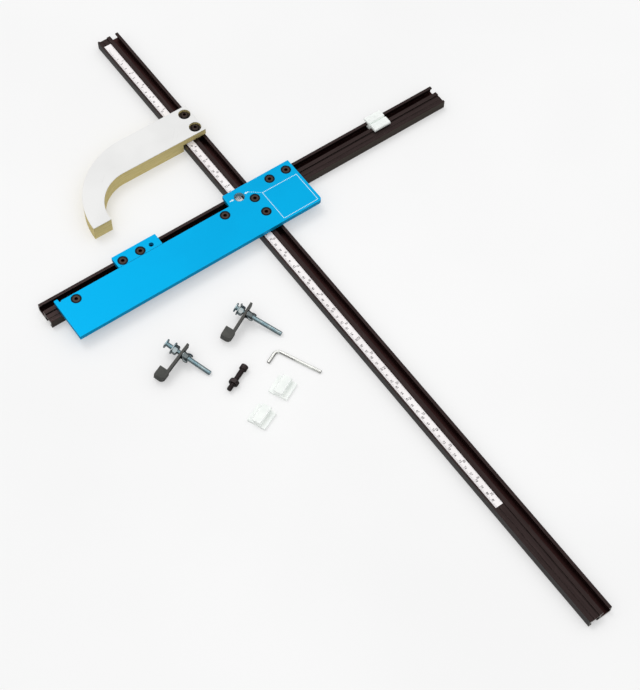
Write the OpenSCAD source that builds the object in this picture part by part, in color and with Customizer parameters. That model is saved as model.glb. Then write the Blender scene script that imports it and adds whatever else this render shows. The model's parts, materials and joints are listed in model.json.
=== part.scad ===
// Circle cutting jig for a bandsaw table.
// Two rails lie in line and a long scale bar of the same extrusion crosses between them.
// A plate joins all three. X runs along the rails, Y along the scale bar and Z up from the table.
// The origin is where the centre lines cross.

/* [Extrusion] */
// Width of the rails and the scale bar
rail_w = 31.75; // [31:0.25:38]
// Height of the rails and the scale bar
rail_h = 12.7; // [12.5:0.1:16]
// Thickness of the web between the two T-slots
web_t = 2.5; // [2:0.1:3]
// Width inside a T-slot
slot_room = 12.7; // [12.2:0.1:13]
// Width of a T-slot's mouth
slot_mouth = 8.1; // [7.6:0.1:9]
// Thickness of the lips of the upper T-slot
top_lip = 2.4; // [1.8:0.1:3]
// Thickness of the floor under the upper T-slot
floor_t = 3; // [2:0.1:3.4]
// Thickness of the lips of the lower T-slot
bottom_lip = 2; // [1.5:0.1:2.2]
// Width of the rim beside the tape recess
recess_rim = 2.6; // [2:0.1:3]
// Width of the tape recess
recess_w = 11.5; // [10.5:0.1:12.5]
// Depth of the tape recess
recess_d = 1.8; // [1.2:0.1:2]
// Thickness of metal between the tape recess and the lower T-slot
roof_t = 1.8; // [1.4:0.1:2]
// Depth of the guide groove in the tape recess
groove_d = 0.6; // [0.3:0.1:0.8]
// Radius of the long edges
edge_r = 0.8; // [0.3:0.1:1.2]
// Radius of the long bottom edge beside the upper T-slot
foot_r = 1.8; // [0.5:0.1:2.4]

/* [Rails and scale bar] */
// Length of the scale bar
bar_l = 1016; // [900:1:1200]
// How far the scale bar reaches past the rails' centre line
bar_reach = 334; // [250:1:420]
// Length of the left rail
left_rail_l = 279.4; // [279:0.1:330]
// Length of the right rail
right_rail_l = 279.4; // [240:0.1:330]
// Gap between the left rail and the scale bar
bar_gap = 0.4; // [0.2:0.1:1]
// Gap between the scale bar and the right rail, which is slid out a little
pull_gap = 10.2; // [9.7:0.1:14]
// Length of the stuck-on scale tape
tape_l = 838.5; // [700:0.5:860]
// Thickness of the scale tape
tape_t = 0.2; // [0.1:0.05:0.4]
// Distance from the bar's far end to the tape
tape_inset = 11.4; // [2:0.1:20]
// Gap between the tape and each side of its recess
tape_gap = 0.6; // [0.1:0.1:1]

/* [Base plate] */
// Length of the base plate
plate_l = 355.6; // [350:0.1:366]
// Width of the base plate
plate_w = 76.2; // [65:0.1:90]
// Thickness of the base plate and the stop plate
plate_t = 6.35; // [5:0.05:8]
// How far the base plate reaches to the right of the scale bar's centre line
plate_right = 76.2; // [70:0.1:80]
// How far the base plate reaches past the rails' centre line
plate_far = 18.9; // [17:0.1:22]
// Radius of the base plate's near corner beside the right rail
plate_corner = 4.8; // [1:0.1:5]
// Radius of the other corners of the base plate and the stop plate
small_corner = 1; // [0.3:0.1:1.2]
// Where the long recess for the stop plate begins, from the rails' centre line
recess_y = 0.5; // [0.3:0.1:0.7]
// Distance from the scale bar's centre line to the step that ends the recess
step_x = 26.4; // [22:0.1:28]
// How far the step leans towards the scale bar
step_lean = 1.7; // [0.5:0.1:4]
// Width of the hook at the recess's left end
hook_w = 5.4; // [4:0.1:8]
// How far the hook rises above the recess
hook_h = 4.1; // [2:0.1:6]
// Diameter of the sight window
window_d = 12.7; // [10:0.1:14]
// Width of the bevel round the sight window
window_bevel = 0.8; // [0.3:0.1:1]
// Distance of the sight window past the rails' centre line
window_y = 5.8; // [4.5:0.1:8]

/* [Stop plate] */
// Length of the stop plate
stop_l = 63.5; // [60:0.1:70]
// Width of the stop plate
stop_w = 17.9; // [17.5:0.1:20]
// Distance from the scale bar's centre line to the stop plate's left end
stop_at = 189; // [150:1:240]
// Gap between the stop plate and the base plate
stop_gap = 0.4; // [0.2:0.1:0.6]
// Distance from the stop plate's right end to its tapped hole
stop_hole_inset = 12.4; // [10:0.1:14]

/* [Curved arm] */
// Thickness of the arm board
arm_t = 22.2; // [21:0.1:26]
// Thickness of the white facing on top of the board
facing_t = 0.8; // [0.4:0.1:1.2]
// Width of the arm's straight part
arm_w = 47.6; // [45:0.1:52]
// Width of the arm's tip
tip_w = 25.8; // [20:0.1:32]
// Radius of the arm's outer curve
arm_outer_r = 101.6; // [98:0.1:105]
// Radius of the arm's inner curve
arm_inner_r = 50.8; // [45:0.1:54]
// Distance from the scale bar's centre line to the outer side of the tip
arm_reach = 184.6; // [170:0.1:200]
// Distance from the rails' centre line to the arm's far side
arm_at = 167; // [160:1:190]
// Distance from the arm's far side back to the face of its tip
arm_drop = 100.5; // [92:0.5:104]
// Gap between the arm's notch and the side of the scale bar
arm_side_gap = 1.9; // [0.5:0.1:4]
// How far the arm reaches past the far side of the scale bar
arm_overhang = 1.1; // [0:0.1:3]
// Diameter of the counterbores in the arm
counterbore_d = 16; // [15:0.1:17]
// Depth of the counterbores in the arm
counterbore_depth = 5; // [4.8:0.1:6]

/* [Support pads] */
// Length of a support pad
pad_l = 25.4; // [20:0.1:32]
// Width of a support pad
pad_w = 25.4; // [20:0.1:27]
// Height of a support pad above the rail
pad_h = 3.8; // [3:0.1:5]
// Width of the slit between a support pad's two humps
pad_slit = 1.6; // [1:0.1:2]
// Thickness of plastic left under the slit
pad_web = 0.9; // [0.6:0.1:1.5]
// Radius of a support pad's upper edges
pad_edge_r = 1.8; // [0.5:0.1:2.4]
// Thickness of a support pad's foot, which slides under the slot's lips
pad_foot_t = 4.2; // [3:0.1:4.5]
// Width of the chamfers along a support pad's foot
pad_chamfer = 0.8; // [0.3:0.1:1.2]
// Distance from the scale bar's centre line to the fitted pad
pad_at = 198.5; // [190:0.5:220]

/* [Screws and nuts] */
// Diameter of the screws and bolts
screw_d = 6.35; // [6:0.05:6.6]
// Diameter of a flat screw head
head_d = 12.7; // [12:0.1:13.2]
// Width across the flats of a screw's hex socket
socket_af = 3.97; // [3:0.01:4.5]
// Depth of a screw's hex socket
socket_depth = 2.8; // [2:0.1:3]
// Distance between the two screws of each pair
screw_pitch = 25.4; // [24:0.1:27]
// Thickness of a T-nut
t_nut_t = 4.2; // [3.6:0.1:4.5]
// Length of a T-nut
t_nut_l = 19; // [15:0.1:21]
// Width across the flats of a hex nut
nut_af = 11.1; // [10.8:0.1:11.4]
// Thickness of a hex nut
nut_t = 5.6; // [4.8:0.1:5.8]
// Diameter of a flat washer
washer_d = 15.2; // [14:0.1:15.6]
// Thickness of a flat washer
washer_t = 1.4; // [1:0.1:1.6]

/* [Table clamps] */
// Length of a clamp bolt under its head
clamp_bolt_l = 63; // [58:0.5:76]
// Diameter of a clamp bolt's round head
clamp_head_d = 12.4; // [11:0.1:12.4]
// Thickness of a clamp bolt's round head
clamp_head_t = 2; // [1.5:0.1:2.6]
// Diameter of a clamp's washer
clamp_washer_d = 16; // [14:0.1:18]
// How far a clamp bolt leans, with its tip on the table
clamp_tilt = 12; // [8:0.5:16]
// Thickness of a clamp strap
strap_t = 3; // [2.5:0.1:3.5]
// Width of a clamp strap
strap_w = 12; // [11:0.1:16]
// Length of a strap from the bolt to its free end
strap_tail = 13.4; // [12:0.1:18]
// Length of a strap from the bolt to its rubber foot
strap_run = 28.5; // [26:0.1:34]
// Inner radius of the bend at a strap's end
strap_bend_r = 1.5; // [1:0.1:3]
// Length of the rubber foot along the strap
foot_l = 13.3; // [11:0.1:18]
// Length of the rubber foot along the bolt
foot_t = 13.4; // [11:0.1:16]
// Thickness of rubber over the strap's edges
foot_skin = 1; // [0.6:0.1:1.6]
// Radius of the foot's square corners
foot_corner = 0.8; // [0.3:0.1:2]
// Length of a wing nut's hub
wing_hub_l = 7.5; // [6:0.1:9]
// Distance from the bolt to a wing's tip
wing_reach = 10.5; // [9.5:0.1:12]

/* [Hex key and stop screw] */
// Width across the flats of the hex key
key_af = 4; // [3:0.1:5]
// Length of the hex key's long leg
key_long = 61; // [50:0.5:80]
// Length of the hex key's short leg
key_short = 20; // [16:0.5:26]
// Bend radius of the hex key
key_bend_r = 6; // [4:0.1:8]
// Length of the stop screw under its head
stop_screw_l = 31.75; // [28:0.05:40]
// Diameter of the stop screw's head
cap_d = 9.5; // [9:0.1:10.5]
// Height of the stop screw's head
cap_h = 6.35; // [5:0.05:8]
// Width across the flats of the stop screw's hex socket
cap_socket_af = 4.76; // [3:0.01:5]
// Depth of the stop screw's hex socket
cap_socket_depth = 3.2; // [2:0.1:4]
// Distance from the stop screw's tip to the middle of its nut
stop_nut_inset = 12; // [8:0.1:16]

/* [Hidden] */
$fn = 96;

// Clearances: a cut's overshoot, a sliding fit, a thread that turns, a screw's hole, the room round a flat head
over = 1;
slide_gap = 0.2;
thread_gap = 0.05;
hole_gap = 0.25;
sink_gap = 0.4;
head_drop = 0.3;
head_rim = 0.4;
sink_half_angle = 41;
bolt_slide_gap = 0.1;
thread_tip = 0.6;
tip_gap = 0.15;
fine_chamfer = 0.3;
smooth = 192;

// Places that follow from the extrusion
half_w = rail_w / 2;
slot_centre = (web_t + slot_room) / 2;
slot_top = rail_h - top_lip;
low_top = rail_h - recess_d - roof_t;
recess_left = recess_rim - half_w;
recess_mid = recess_left + recess_w / 2;
groove_at = -9;

// Places along the rails, the bar and the plate
left_end = -half_w - bar_gap;
right_start = half_w + pull_gap;
plate_x0 = plate_right - plate_l;
plate_y0 = plate_far - plate_w;
plate_top = rail_h + plate_t;
left_screw_inset = 24.5;
left_screw_end = 22;
left_screw_x = [plate_x0 + left_screw_inset, left_end - left_screw_end];
right_lock_inset = 10.8;
rail_lock_x = [for (i = [0, 1]) plate_right - right_lock_inset - i * screw_pitch];
first_lock_y = -6.8;
bar_lock_y = [for (i = [0, 1]) first_lock_y - i * screw_pitch];
stop_screw_inset = 9.7;
stop_y = recess_y + stop_gap;
stop_lock_x = [for (i = [0, 1]) stop_screw_inset - stop_at + i * screw_pitch];
arm_screw_inset = 11.7;
arm_screw_y = [for (i = [0, 1]) arm_at - arm_screw_inset - i * screw_pitch];

// Stack heights: a lock screw ends in its T-nut, and a long screw passes through its hex nut
flat_head_h = (head_d - screw_d) / 2 / tan(sink_half_angle);
t_nut_drop = top_lip + slide_gap + t_nut_t;
lock_screw_l = plate_t - head_drop + t_nut_drop - tip_gap;
long_screw_l = plate_t - head_drop + recess_d + roof_t + nut_t + thread_tip;
counterbore_z = arm_t - counterbore_depth;
arm_head_z = counterbore_z + washer_t;
arm_head_d = 11.1;
arm_head_top_d = 6.1;
arm_head_h = 3.3;
arm_screw_l = arm_head_z - rail_h + t_nut_drop - tip_gap;

// Where the loose pieces lie beside the jig, as [x, y] of a datum and a turn about Z
spare_pad_1_at = [-116.4, -245.3];
spare_pad_1_turn = 25.5;
spare_pad_2_at = [-159.1, -263.1];
spare_pad_2_turn = 23;
clamp_1_at = [-200, -121];
clamp_1_turn = -67.6;
clamp_1_washer_x = 10.7;
clamp_1_strap_x = 23.2;
clamp_1_wing_turn = -31;
clamp_2_at = [-103.5, -126.4];
clamp_2_turn = -63.5;
clamp_2_washer_x = 4.7;
clamp_2_strap_x = 14.7;
clamp_2_wing_turn = -35;
hex_key_at = [-92.6, -198.4];
hex_key_turn = -65;
stop_screw_at = [-137, -196.5];
stop_screw_turn = -154.8;

// Clamp details that follow from its sizes. The bolt leans until its tip is on the table, then the strap rolls
// about the bolt until the foot's lowest corner is on the table too.
clamp_z = (clamp_head_t + clamp_bolt_l) * sin(clamp_tilt) + (screw_d / 2 - thread_tip) * cos(clamp_tilt);
foot_h = strap_w + 2 * foot_skin;
foot_front = strap_t / 2 + foot_skin;
foot_end = strap_run + foot_l;
function strap_roll(strap_x) =
    asin((clamp_z - (strap_x + foot_front) * sin(clamp_tilt)) / cos(clamp_tilt) / norm([foot_end, foot_h / 2]))
    - atan(foot_h / 2 / foot_end);
strap_end = foot_end - foot_skin;
strap_leg = foot_t - foot_front - foot_skin;
wing_base_d = 11;
wing_hub_d = 8.6;
wing_t = 2.2;
wing_tip_r = 3.6;
wing_root = 2;
wing_foot = 0.6;
wing_rise = 2;
nut_clear = 0.2;
nut_corner_drop = 0.4;

// Colours as the photo shows them
blue = [0.0, 0.62, 0.86];
anodised = [0.13, 0.11, 0.11];
black_steel = [0.2, 0.18, 0.18];
zinc = [0.66, 0.7, 0.72];
nickel = [0.78, 0.78, 0.75];
white_plastic = [0.86, 0.89, 0.87];
facing_white = [0.93, 0.93, 0.92];
board_tan = [0.72, 0.65, 0.42];
tape_white = [0.95, 0.94, 0.93];
rubber_black = [0.1, 0.1, 0.1];

// Square with a quarter circle taken out, which rounds a corner when it is cut away
module corner_cut(r) {
    difference() {
        translate([-over, -over]) square(r + over);
        translate([r, r]) circle(r);
    }
}

// Rectangle with round corners, from its lower left corner. Its lower right corner has a radius of its own.
module rounded_rect(size, r, right_r) {
    difference() {
        square(size);
        corner_cut(r);
        translate([size.x, 0]) mirror([1, 0]) corner_cut(right_r);
        translate([0, size.y]) mirror([0, 1]) corner_cut(r);
        translate(size) rotate(180) corner_cut(r);
    }
}

// Cross-section shared by the rails and the scale bar, with its upper T-slot on the positive side
module rail_profile() {
    difference() {
        translate([-half_w, 0]) square([rail_w, rail_h]);
        translate([slot_centre - slot_mouth / 2, floor_t]) square([slot_mouth, rail_h]);
        translate([slot_centre - slot_room / 2, floor_t]) square([slot_room, slot_top - floor_t]);
        translate([-slot_centre - slot_mouth / 2, -over]) square([slot_mouth, low_top + over]);
        translate([-slot_centre - slot_room / 2, bottom_lip]) square([slot_room, low_top - bottom_lip]);
        translate([recess_left, rail_h - recess_d]) square([recess_w, recess_d + over]);
        translate([groove_at, rail_h - recess_d - groove_d])
            polygon([[0, 0], [groove_d + 0.1, groove_d + 0.1], [-groove_d - 0.1, groove_d + 0.1]]);
        translate([-half_w, 0]) corner_cut(edge_r);
        translate([-half_w, rail_h]) mirror([0, 1]) corner_cut(edge_r);
        translate([half_w, rail_h]) rotate(180) corner_cut(edge_r);
        translate([half_w, 0]) mirror([1, 0]) corner_cut(foot_r);
    }
}

// Rail along +X from the origin, with its upper T-slot on the +Y side
module rail_along_x(l) {
    rotate([90, 0, 90]) linear_extrude(l) rail_profile();
}

// Flat-head screw whose head's top is at the origin and whose tip points down
module flat_screw(l) {
    difference() {
        union() {
            translate([0, 0, -head_rim]) cylinder(d = head_d, h = head_rim);
            translate([0, 0, -head_rim - flat_head_h]) cylinder(d1 = screw_d, d2 = head_d, h = flat_head_h);
            translate([0, 0, -l + thread_tip]) cylinder(d = screw_d, h = l - thread_tip - head_rim);
            translate([0, 0, -l]) cylinder(d1 = screw_d - 2 * thread_tip, d2 = screw_d, h = thread_tip);
        }
        translate([0, 0, -socket_depth])
            cylinder(d = socket_af / cos(30), h = socket_depth + over, $fn = 6);
    }
}

// Countersunk hole to cut from a plate whose top is at the origin
module sink_hole() {
    sink_d = head_d + 2 * sink_gap;
    hole_d = screw_d + 2 * hole_gap;
    sink_h = (sink_d - hole_d) / 2 / tan(sink_half_angle);
    translate([0, 0, -head_rim]) cylinder(d = sink_d, h = head_rim + over);
    translate([0, 0, -head_rim - sink_h]) cylinder(d1 = hole_d, d2 = sink_d, h = sink_h);
    translate([0, 0, -plate_t - over]) cylinder(d = hole_d, h = plate_t + over);
}

// T-nut along X under the lips of an upper T-slot, centred over the origin at the rail's top
module t_nut() {
    nut_w = slot_room - 2 * slide_gap;
    neck_w = slot_mouth - 2 * slide_gap;
    difference() {
        union() {
            translate([-t_nut_l / 2, -nut_w / 2, -t_nut_drop]) cube([t_nut_l, nut_w, t_nut_t]);
            translate([-t_nut_l / 2, -neck_w / 2, -t_nut_drop])
                cube([t_nut_l, neck_w, t_nut_drop - 2 * slide_gap]);
        }
        translate([0, 0, -t_nut_drop - over])
            cylinder(d = screw_d + 2 * thread_gap, h = t_nut_drop + 2 * over);
    }
}

// Hex nut on the Z axis with its lower face at the origin
module hex_nut() {
    corner_d = nut_af / cos(30);
    round_d = corner_d + nut_corner_drop;
    difference() {
        intersection() {
            cylinder(d = corner_d, h = nut_t, $fn = 6);
            union() {
                cylinder(d1 = nut_af, d2 = round_d, h = nut_t / 5);
                translate([0, 0, nut_t / 5]) cylinder(d = round_d, h = nut_t * 3 / 5);
                translate([0, 0, nut_t * 4 / 5]) cylinder(d1 = round_d, d2 = nut_af, h = nut_t / 5);
            }
        }
        translate([0, 0, -over]) cylinder(d = screw_d + 2 * thread_gap, h = nut_t + 2 * over);
    }
}

// Flat washer on the Z axis with its lower face at the origin
module washer(d) {
    difference() {
        cylinder(d = d, h = washer_t);
        translate([0, 0, -over]) cylinder(d = screw_d + 2 * hole_gap, h = washer_t + 2 * over);
    }
}

// Base plate: the long recess, its leaning step and the hook at its left end are cut from one rounded rectangle
module base_plate() {
    recess_top = plate_far + over;
    recess_points = [
        [plate_x0 + hook_w, recess_y], [-step_x, recess_y],
        [-step_x + step_lean, recess_top], [plate_x0 + hook_w, recess_top]
    ];
    hook_top = recess_y + hook_h;
    relief_r = 1.2;
    color(blue)
    translate([0, 0, rail_h])
    difference() {
        linear_extrude(plate_t) difference() {
            translate([plate_x0, plate_y0]) rounded_rect([plate_l, plate_w], small_corner, plate_corner);
            polygon(recess_points);
            translate([plate_x0 - over, hook_top]) square([hook_w + 2 * over, plate_w]);
            translate([plate_x0, hook_top]) mirror([0, 1]) corner_cut(relief_r);
            translate([plate_x0 + hook_w, hook_top]) rotate(180) corner_cut(relief_r);
            translate([plate_x0 + hook_w + relief_r, recess_y]) circle(relief_r);
        }
        translate([0, 0, plate_t]) {
            for (x = left_screw_x) translate([x, -slot_centre, 0]) sink_hole();
            for (x = rail_lock_x) translate([x, slot_centre, 0]) sink_hole();
            for (y = bar_lock_y) translate([slot_centre, y, 0]) sink_hole();
            translate([recess_mid, window_y, -plate_t - over]) cylinder(d = window_d, h = plate_t + 2 * over);
            translate([recess_mid, window_y, -window_bevel])
                cylinder(d1 = window_d, d2 = window_d + 4 * window_bevel, h = 2 * window_bevel);
        }
    }
}

// Left rail with two holes through the tape recess for the plate's long screws
module left_rail() {
    color(anodised)
    difference() {
        translate([left_end - left_rail_l, 0, 0]) rail_along_x(left_rail_l);
        for (x = left_screw_x)
            translate([x, -slot_centre, low_top - over]) cylinder(d = screw_d + 2 * hole_gap, h = rail_h);
    }
}

module left_rail_screws() {
    color(black_steel)
    for (x = left_screw_x) translate([x, -slot_centre, plate_top - head_drop]) flat_screw(long_screw_l);
}

module left_rail_nuts() {
    color(black_steel)
    for (x = left_screw_x) translate([x, -slot_centre, low_top - nut_t]) hex_nut();
}

module scale_bar() {
    color(anodised)
    translate([0, bar_reach, 0]) rotate([90, 0, 0]) linear_extrude(bar_l) rail_profile();
}

module scale_tape() {
    tape_w = recess_w - 2 * tape_gap;
    color(tape_white)
    translate([recess_left + tape_gap, bar_reach - tape_inset - tape_l, rail_h - recess_d])
        cube([tape_w, tape_l, tape_t]);
}

module bar_lock_screw(i) {
    color(black_steel) translate([slot_centre, bar_lock_y[i], plate_top - head_drop]) flat_screw(lock_screw_l);
}

module bar_lock_screw_1() { bar_lock_screw(0); }
module bar_lock_screw_2() { bar_lock_screw(1); }

module bar_t_nuts() {
    color(zinc)
    for (y = bar_lock_y) translate([slot_centre, y, rail_h]) rotate([0, 0, 90]) t_nut();
}

module right_rail() {
    color(anodised) translate([right_start, 0, 0]) rail_along_x(right_rail_l);
}

module rail_lock_screw(i) {
    color(black_steel) translate([rail_lock_x[i], slot_centre, plate_top - head_drop]) flat_screw(lock_screw_l);
}

module rail_lock_screw_1() { rail_lock_screw(0); }
module rail_lock_screw_2() { rail_lock_screw(1); }

module rail_t_nuts() {
    color(zinc) for (x = rail_lock_x) translate([x, slot_centre, rail_h]) t_nut();
}

// Stop plate that rides on the left rail in the base plate's recess
module stop_plate() {
    color(blue)
    translate([-stop_at, stop_y, rail_h])
    difference() {
        linear_extrude(plate_t) rounded_rect([stop_l, stop_w], small_corner, small_corner);
        for (x = stop_lock_x) translate([x + stop_at, slot_centre - stop_y, plate_t]) sink_hole();
        translate([stop_l - stop_hole_inset, slot_centre - stop_y, -over])
            cylinder(d = screw_d, h = plate_t + 2 * over);
    }
}

module stop_lock_screw(i) {
    color(black_steel) translate([stop_lock_x[i], slot_centre, plate_top - head_drop]) flat_screw(lock_screw_l);
}

module stop_lock_screw_1() { stop_lock_screw(0); }
module stop_lock_screw_2() { stop_lock_screw(1); }

module stop_t_nuts() {
    color(zinc) for (x = stop_lock_x) translate([x, slot_centre, rail_h]) t_nut();
}

// Plan of the arm: a straight part that runs into two arcs whose centres are set apart, so that it tapers
module arm_outline() {
    near_y = arm_at - arm_w;
    tip_y = arm_at - arm_drop;
    outer_c = [arm_outer_r - arm_reach, arm_at - arm_outer_r];
    inner_c = [tip_w + arm_inner_r - arm_reach, near_y - arm_inner_r];
    right_x = half_w + arm_overhang;
    difference() {
        union() {
            translate([outer_c.x, near_y]) square([right_x - outer_c.x, arm_w]);
            intersection() {
                translate(outer_c) circle(arm_outer_r, $fn = smooth);
                translate([-arm_reach - over, tip_y]) square([arm_outer_r + over, arm_drop + over]);
            }
        }
        translate(inner_c) circle(arm_inner_r, $fn = smooth);
        translate([inner_c.x, tip_y - over]) square([arm_reach, arm_drop - arm_w + over]);
        translate([inner_c.x - arm_inner_r, tip_y - over]) square([arm_reach, inner_c.y - tip_y + over]);
    }
}

// One layer of the arm, with the notch over the scale bar and the screws' holes and counterbores taken out
module arm_layer(z, t) {
    notch_x = -half_w - arm_side_gap;
    difference() {
        translate([0, 0, z]) linear_extrude(t) arm_outline();
        translate([notch_x, arm_at - arm_w - over, -over]) cube([arm_reach, arm_w + 2 * over, rail_h + over]);
        for (y = arm_screw_y) {
            translate([slot_centre, y, rail_h - over]) cylinder(d = screw_d + 2 * hole_gap, h = arm_t);
            translate([slot_centre, y, counterbore_z]) cylinder(d = counterbore_d, h = arm_t);
        }
    }
}

module arm_board() {
    color(board_tan) arm_layer(0, arm_t - facing_t);
}

module arm_top_facing() {
    color(facing_white) arm_layer(arm_t - facing_t, facing_t);
}

module arm_washers() {
    color(black_steel) for (y = arm_screw_y) translate([slot_centre, y, counterbore_z]) washer(washer_d);
}

// Button-head screw that holds the arm to the scale bar
module arm_screw(i) {
    color(black_steel)
    translate([slot_centre, arm_screw_y[i], arm_head_z])
    difference() {
        union() {
            cylinder(d = arm_head_d, h = arm_head_h / 3);
            translate([0, 0, arm_head_h / 3])
                cylinder(d1 = arm_head_d, d2 = arm_head_top_d, h = arm_head_h * 2 / 3);
            translate([0, 0, -arm_screw_l]) cylinder(d = screw_d, h = arm_screw_l);
        }
        translate([0, 0, arm_head_h - socket_depth])
            cylinder(d = socket_af / cos(30), h = socket_depth + over, $fn = 6);
    }
}

module arm_screw_1() { arm_screw(0); }
module arm_screw_2() { arm_screw(1); }

module arm_t_nuts() {
    color(zinc) for (y = arm_screw_y) translate([slot_centre, y, rail_h]) rotate([0, 0, 90]) t_nut();
}

// Support pad: two round-edged humps over the rail, and a T-shaped foot that slides under the slot's lips
module pad() {
    neck = slot_mouth / 2 - slide_gap;
    reach = slot_room / 2 - slide_gap;
    foot_top = -top_lip - slide_gap;
    foot_bottom = foot_top - pad_foot_t;
    half = [
        [pad_w / 2, pad_h], [pad_w / 2, 0], [neck, 0], [neck, foot_top], [reach - pad_chamfer, foot_top],
        [reach, foot_top - pad_chamfer], [reach, foot_bottom + pad_chamfer], [reach - pad_chamfer, foot_bottom]
    ];
    rotate([90, 0, 90]) translate([0, 0, -pad_l / 2]) linear_extrude(pad_l) difference() {
        polygon(concat(half, [for (i = [len(half) - 1:-1:0]) [-half[i].x, half[i].y]]));
        translate([-pad_slit / 2, pad_web]) square([pad_slit, pad_h]);
        for (side = [-1, 1]) {
            translate([side * pad_w / 2, pad_h]) mirror([side > 0 ? 1 : 0, 0]) mirror([0, 1])
                corner_cut(pad_edge_r);
            translate([side * pad_slit / 2, pad_h]) mirror([side < 0 ? 1 : 0, 0]) mirror([0, 1])
                corner_cut(pad_edge_r);
        }
    }
}

module support_pad() {
    color(white_plastic) translate([pad_at + pad_l / 2, slot_centre, rail_h]) pad();
}

// Spare pad on its humps, with its foot up
module spare_pad(at, turn) {
    color(white_plastic) translate([at.x, at.y, pad_h]) rotate([0, 0, turn]) rotate([180, 0, 0]) pad();
}

module spare_pad_1() { spare_pad(spare_pad_1_at, spare_pad_1_turn); }
module spare_pad_2() { spare_pad(spare_pad_2_at, spare_pad_2_turn); }

// Places a clamp's pieces: the bolt runs along +X from the outer face of its head and leans down to its tip
module clamp_place(at, turn) {
    translate([at.x, at.y, clamp_z]) rotate([0, clamp_tilt, turn]) children();
}

// Places a strap and its foot on the bolt, rolled until the foot is on the table
module strap_place(at, turn, strap_x) {
    clamp_place(at, turn) translate([strap_x, 0, 0]) rotate([strap_roll(strap_x), 0, 0]) children();
}

module clamp_bolt() {
    color(zinc) rotate([0, 90, 0]) {
        cylinder(d = clamp_head_d, h = clamp_head_t);
        cylinder(d = screw_d, h = clamp_head_t + clamp_bolt_l - thread_tip);
        translate([0, 0, clamp_head_t + clamp_bolt_l - thread_tip])
            cylinder(d1 = screw_d, d2 = screw_d - 2 * thread_tip, h = thread_tip);
    }
}

// Plan of a strap as it stands on its edge: straight past the bolt, then a square bend towards the bolt's head
module strap_plan() {
    bend = [-strap_t / 2 - strap_bend_r, strap_t + strap_bend_r - strap_end];
    translate([-strap_t / 2, bend.y]) square([strap_t, strap_tail - bend.y]);
    translate([-strap_leg, -strap_end]) square([strap_leg + bend.x, strap_t]);
    intersection() {
        translate(bend) difference() {
            circle(strap_bend_r + strap_t);
            circle(strap_bend_r);
        }
        translate([bend.x, -strap_end]) square(strap_bend_r + strap_t);
    }
}

module clamp_strap() {
    color(black_steel)
    difference() {
        translate([0, 0, -strap_w / 2]) linear_extrude(strap_w) strap_plan();
        rotate([0, 90, 0]) translate([0, 0, -strap_t])
            cylinder(d = screw_d + 2 * bolt_slide_gap, h = 2 * strap_t);
    }
}

// Rubber foot moulded over the strap's bent end
module clamp_foot() {
    color(rubber_black)
    difference() {
        translate([foot_front - foot_t, -foot_end, -foot_h / 2]) linear_extrude(foot_h)
            rounded_rect([foot_t, foot_l], foot_corner, strap_bend_r + strap_t + foot_skin);
        translate([0, 0, -strap_w / 2]) linear_extrude(strap_w) strap_plan();
    }
}

// Wing nut on the Z axis with its base at the origin
module wing_nut_shape() {
    difference() {
        union() {
            cylinder(d1 = wing_base_d, d2 = wing_hub_d, h = wing_hub_l);
            for (side = [0, 180]) rotate([90, 0, side]) translate([0, 0, -wing_t / 2]) linear_extrude(wing_t) {
                translate([wing_reach - wing_tip_r, wing_hub_l]) circle(wing_tip_r);
                polygon([
                    [wing_root, wing_foot], [wing_base_d / 2 - wing_foot, wing_foot],
                    [wing_reach - wing_foot, wing_hub_l - wing_rise],
                    [wing_reach - wing_tip_r, wing_hub_l + wing_tip_r], [wing_root, wing_hub_l - wing_rise]
                ]);
            }
        }
        translate([0, 0, -over]) cylinder(d = screw_d + 2 * thread_gap, h = wing_hub_l + wing_tip_r + 2 * over);
    }
}

module clamp_washer(x) {
    color(zinc) translate([x, 0, 0]) rotate([0, 90, 0]) washer(clamp_washer_d);
}

module clamp_nut(x) {
    color(zinc) translate([x + washer_t, 0, 0]) rotate([0, 90, 0]) hex_nut();
}

module clamp_wing_nut(x, turn) {
    color(zinc)
    translate([x + strap_t / 2 + nut_clear, 0, 0]) rotate([turn, 0, 0]) rotate([0, 90, 0]) rotate([0, 0, 90])
        wing_nut_shape();
}

module clamp_1_bolt() { clamp_place(clamp_1_at, clamp_1_turn) clamp_bolt(); }
module clamp_1_washer() { clamp_place(clamp_1_at, clamp_1_turn) clamp_washer(clamp_1_washer_x); }
module clamp_1_nut() { clamp_place(clamp_1_at, clamp_1_turn) clamp_nut(clamp_1_washer_x); }
module clamp_1_strap() { strap_place(clamp_1_at, clamp_1_turn, clamp_1_strap_x) clamp_strap(); }
module clamp_1_foot() { strap_place(clamp_1_at, clamp_1_turn, clamp_1_strap_x) clamp_foot(); }
module clamp_1_wing_nut() {
    clamp_place(clamp_1_at, clamp_1_turn) clamp_wing_nut(clamp_1_strap_x, clamp_1_wing_turn);
}

module clamp_2_bolt() { clamp_place(clamp_2_at, clamp_2_turn) clamp_bolt(); }
module clamp_2_washer() { clamp_place(clamp_2_at, clamp_2_turn) clamp_washer(clamp_2_washer_x); }
module clamp_2_nut() { clamp_place(clamp_2_at, clamp_2_turn) clamp_nut(clamp_2_washer_x); }
module clamp_2_strap() { strap_place(clamp_2_at, clamp_2_turn, clamp_2_strap_x) clamp_strap(); }
module clamp_2_foot() { strap_place(clamp_2_at, clamp_2_turn, clamp_2_strap_x) clamp_foot(); }
module clamp_2_wing_nut() {
    clamp_place(clamp_2_at, clamp_2_turn) clamp_wing_nut(clamp_2_strap_x, clamp_2_wing_turn);
}

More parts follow.
